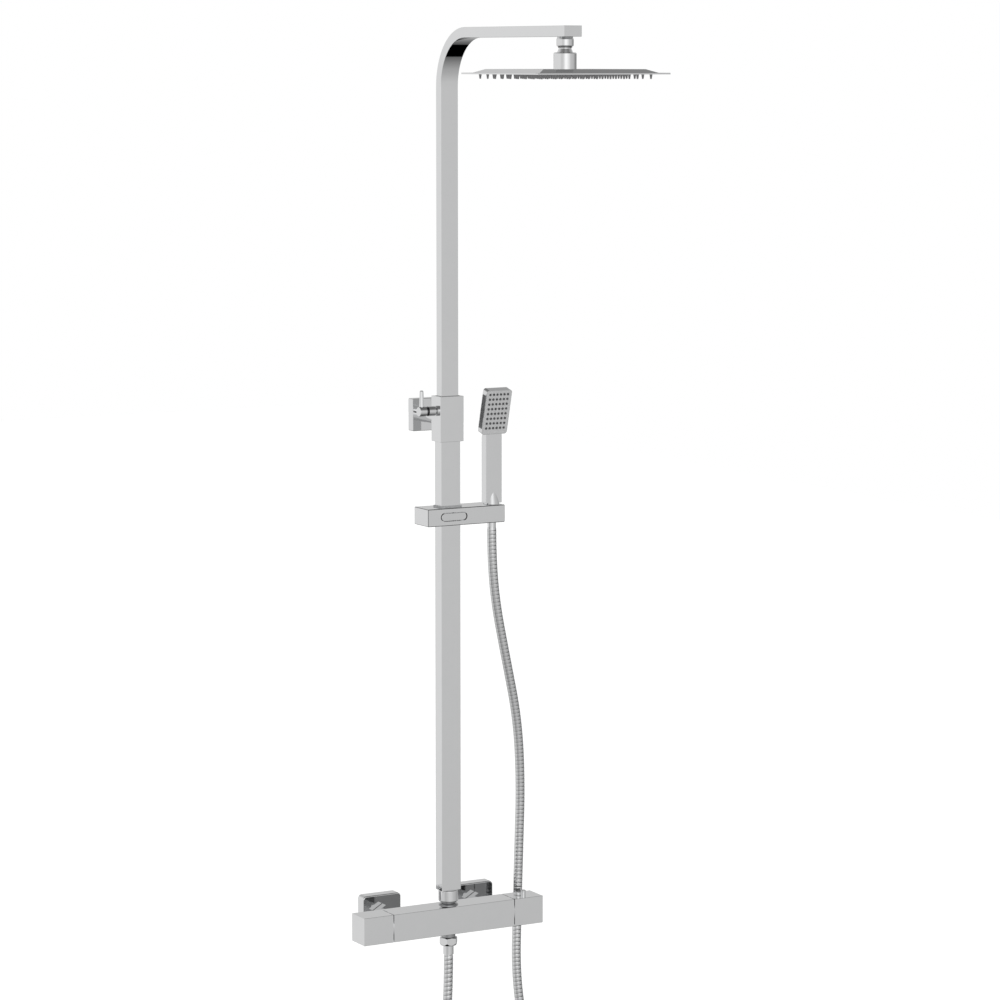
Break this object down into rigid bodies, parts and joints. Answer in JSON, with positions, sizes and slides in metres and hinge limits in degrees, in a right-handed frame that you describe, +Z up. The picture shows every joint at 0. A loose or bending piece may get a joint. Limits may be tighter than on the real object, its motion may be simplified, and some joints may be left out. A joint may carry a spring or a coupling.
{
  "type": "rainfall shower column",
  "caption": "Wall-mounted shower column: square valve bar, telescopic flat riser with square rain head on a ball joint, sliding holder, slim hand shower and hose.",
  "frame": {"origin": "on the wall plane, midway between the two inlets, at the height of the valve bar's axis", "axes": "+X along the valve bar to the temperature handle, +Y into the wall, +Z up"},
  "size_m": [0.3047, 0.5231, 1.7037],
  "materials": {
    "chrome": "mirror polished",
    "chrome_plastic": "plated, polished",
    "brass": "machined",
    "steel": "plain",
    "black_rubber": "matte",
    "dark_silicone": "matte",
    "grey_plastic": "satin",
    "white_plastic": "satin",
    "pale_plastic": "satin"
  },
  "bodies": {
    "column": {"valve_body": "chrome", "thermostatic_cartridge": "white_plastic", "diverter_cartridge": "white_plastic", "cartridge_nuts": "brass", "check_valves": "white_plastic", "union_nuts": "chrome", "wall_unions": "brass", "wall_flanges": "chrome", "top_outlet_nipple": "chrome", "outlet_rosette": "chrome", "riser_nut": "chrome", "riser_foot": "brass", "pipe_washers": "black_rubber", "lower_tube": "chrome", "riser_collar": "chrome", "collar_wiper": "pale_plastic", "bracket_cover": "chrome", "bracket_base": "brass", "bracket_wall_screws": "steel", "bracket_arm": "chrome", "grub_screws": "steel", "bottom_outlet_nipple": "chrome", "hose_hex_nut": "chrome", "hose_ferrule_lower": "chrome", "shower_hose": "chrome"},
    "flow_handle": {"flow_handle": "chrome", "flow_spindle": "brass", "flow_handle_screw": "steel"},
    "temperature_handle": {"temperature_handle": "chrome", "thermostat_spindle": "brass", "temperature_handle_screw": "steel", "safety_button_spring": "steel"},
    "safety_button": {"safety_button": "chrome"},
    "lock_knob": {"lock_knob": "chrome", "lock_lever": "chrome"},
    "clamp_pad": {"clamp_pad": "white_plastic"},
    "riser": {"upper_tube": "chrome", "riser_piston": "brass", "piston_seals": "black_rubber", "arm_end_cap": "chrome", "ball_stem": "chrome"},
    "ball_seat_upper": {"ball_seat_upper": "white_plastic"},
    "ball_seat_lower": {"ball_seat_lower": "white_plastic"},
    "rain_head": {"swivel_nut": "chrome", "swivel_cup": "brass", "rain_head_shell": "chrome", "rain_head_plate": "steel", "rain_nozzle_mat": "dark_silicone"},
    "slider": {"slider_body": "chrome_plastic", "slider_liner": "pale_plastic", "rocker_pin": "steel", "rocker_spring": "steel"},
    "rocker": {"rocker_button": "chrome_plastic", "brake_shoe": "pale_plastic"},
    "hose_end": {"hose_cone_nut": "chrome", "hose_ferrule_upper": "chrome", "handset_washer": "black_rubber"},
    "handset": {"handset_body": "chrome_plastic", "handset_face": "grey_plastic", "handset_nozzles": "dark_silicone"}
  },
  "joints": [
    {"name": "flow_handle_turn", "type": "hinge", "parent": "column", "child": "flow_handle", "pos_m": [-0.12, -0.0765, 0], "axis": [1, 0, 0], "range_deg": [-90, 90]},
    {"name": "temperature_handle_turn", "type": "hinge", "parent": "column", "child": "temperature_handle", "pos_m": [0.12, -0.0765, 0], "axis": [1, 0, 0], "range_deg": [-180, 45]},
    {"name": "safety_button_press", "type": "slide", "parent": "temperature_handle", "child": "safety_button", "axis": [0, 0, -1], "range_m": [0, 0.002], "stiffness_N_per_m": 600, "springref_m": -0.001, "deforming": ["safety_button_spring"]},
    {"name": "lock_knob_turn", "type": "hinge", "parent": "column", "child": "lock_knob", "pos_m": [-0.03, -0.08, 0.72475], "axis": [1, 0, 0], "range_deg": [0, 90]},
    {"name": "clamp_pad_slide", "type": "slide", "parent": "column", "child": "clamp_pad", "axis": [-1, 0, 0], "range_m": [0, 0.0004]},
    {"name": "riser_telescope", "type": "slide", "parent": "column", "child": "riser", "axis": [0, 0, 1], "range_m": [-0.25, 0.2]},
    {"name": "head_tilt_x", "type": "hinge", "parent": "riser", "child": "ball_seat_upper", "pos_m": [0, -0.4015, 1.2085], "axis": [1, 0, 0], "range_deg": [-12, 12]},
    {"name": "head_tilt_y", "type": "hinge", "parent": "ball_seat_upper", "child": "ball_seat_lower", "pos_m": [0, -0.4015, 1.2085], "axis": [0, 1, 0], "range_deg": [-12, 12]},
    {"name": "head_spin", "type": "hinge", "parent": "ball_seat_lower", "child": "rain_head", "pos_m": [0, -0.4015, 1.2085], "axis": [0, 0, 1], "continuous": true},
    {"name": "slider_travel", "type": "slide", "parent": "column", "child": "slider", "axis": [0, 0, 1], "range_m": [-0.35, 0.08], "deforming": ["shower_hose"]},
    {"name": "rocker_press", "type": "hinge", "parent": "slider", "child": "rocker", "pos_m": [0.004, -0.09435, 0.5769], "axis": [0, 0, -1], "range_deg": [0, 4.5], "stiffness_Nm_per_rad": 0.5, "springref_deg": -2.86, "deforming": ["rocker_spring"]},
    {"name": "handset_lift", "type": "slide", "parent": "slider", "child": "hose_end", "axis": [0, 0, 1], "range_m": [0, 0.06]},
    {"name": "handset_swivel", "type": "hinge", "parent": "hose_end", "child": "handset", "pos_m": [0.0704, -0.0765, 0.58], "axis": [0, 0, 1], "range_deg": [-90, 90]}
  ],
  "couplings": [
    {"joint": "clamp_pad_slide", "follows": "lock_knob_turn", "m_per_rad": 0.000238}
  ]
}
